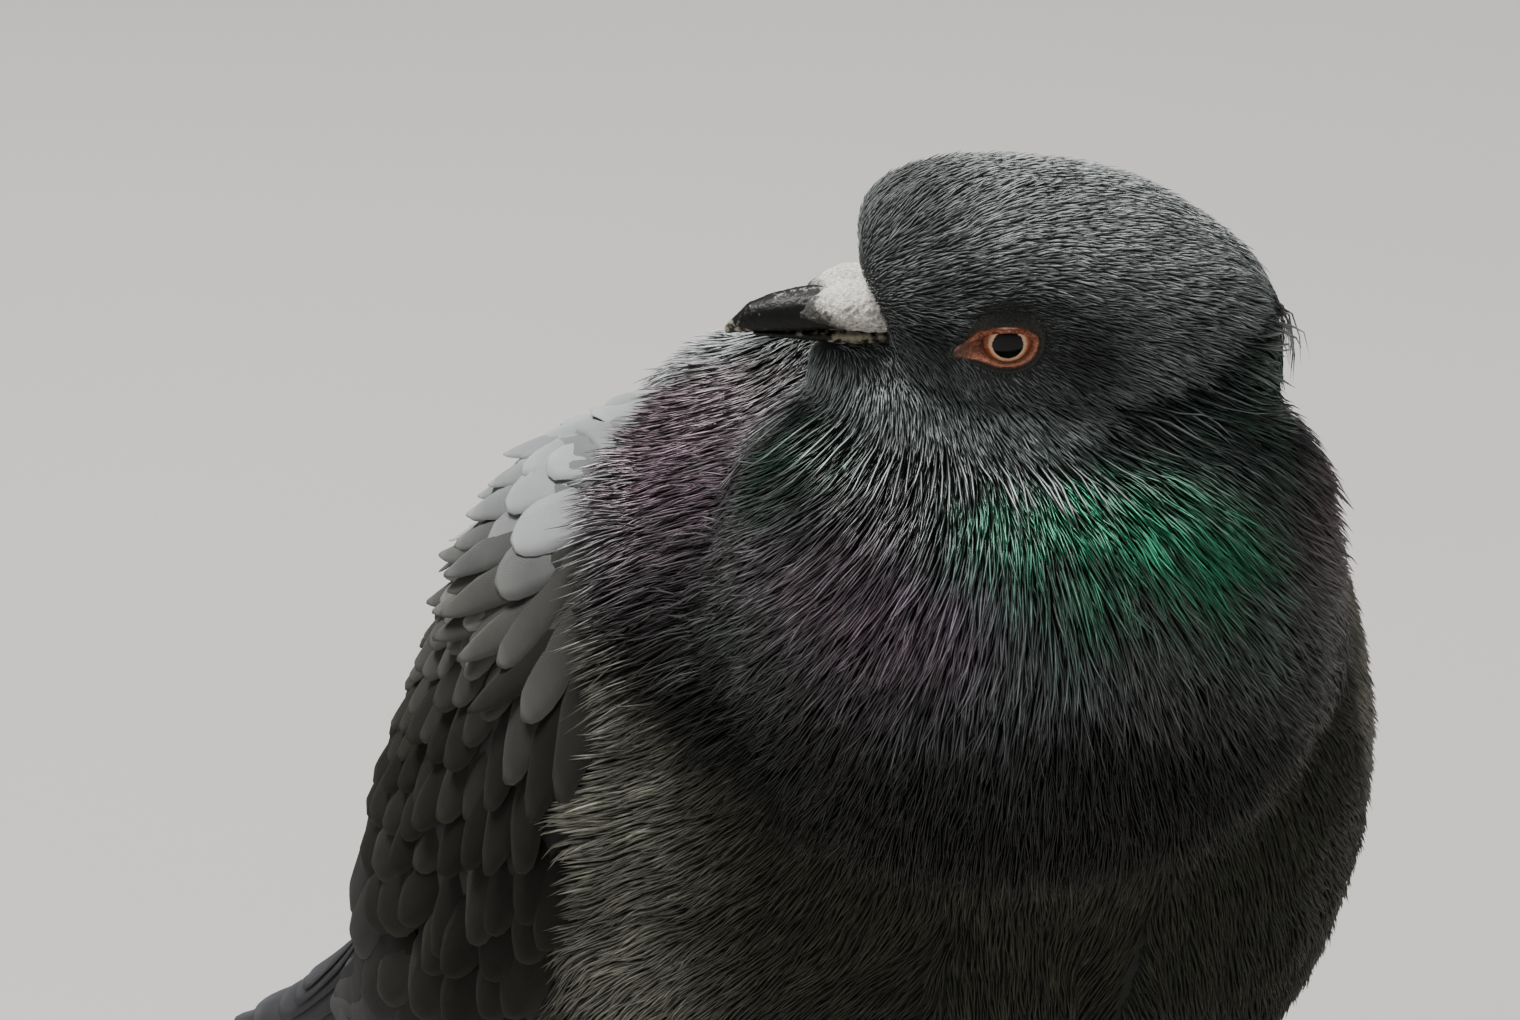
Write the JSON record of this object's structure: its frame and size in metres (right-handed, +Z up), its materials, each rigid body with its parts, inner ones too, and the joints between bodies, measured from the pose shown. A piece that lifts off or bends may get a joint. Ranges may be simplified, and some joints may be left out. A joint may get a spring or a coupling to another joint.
{
  "type": "standing pigeon",
  "caption": "Life-size feral pigeon standing with puffed neck, folded wings and its head turned over its right shoulder.",
  "frame": {"origin": "on the floor under the middle of the bird's bounding box", "axes": "+Z up; the breast and toes face -Y and the tail points to +Y, so the bird's right side is -X"},
  "size_m": [0.1212, 0.2778, 0.2017],
  "materials": {
    "body": "soft grey feathers",
    "neck": "narrow glossy feathers with a green and purple sheen",
    "head": "short slate-grey feathers",
    "wing": "grey covert feathers",
    "flight": "dark flight feathers",
    "tail": "grey tail feathers with a dark end band",
    "eye": "wet orange eye",
    "bill": "dark horn",
    "cere": "chalky white swollen skin",
    "leg": "red scaly skin",
    "claw": "dark horn"
  },
  "bodies": {
    "root": {"bill_lower": "bill", "bill_upper": "bill", "cere_left": "cere", "cere_right": "cere", "claw_left_hind": "claw", "claw_left_inner": "claw", "claw_left_middle": "claw", "claw_left_outer": "claw", "claw_right_hind": "claw", "claw_right_inner": "claw", "claw_right_middle": "claw", "claw_right_outer": "claw", "eye_left": "eye", "eye_right": "eye", "head": "head", "leg_left": "leg", "leg_right": "leg", "neck": "neck", "primaries_left": "flight", "primaries_right": "flight", "tail": "tail", "thigh_left": "body", "thigh_right": "body", "trunk": "body", "wing_left": "wing", "wing_right": "wing"}
  },
  "joints": []
}
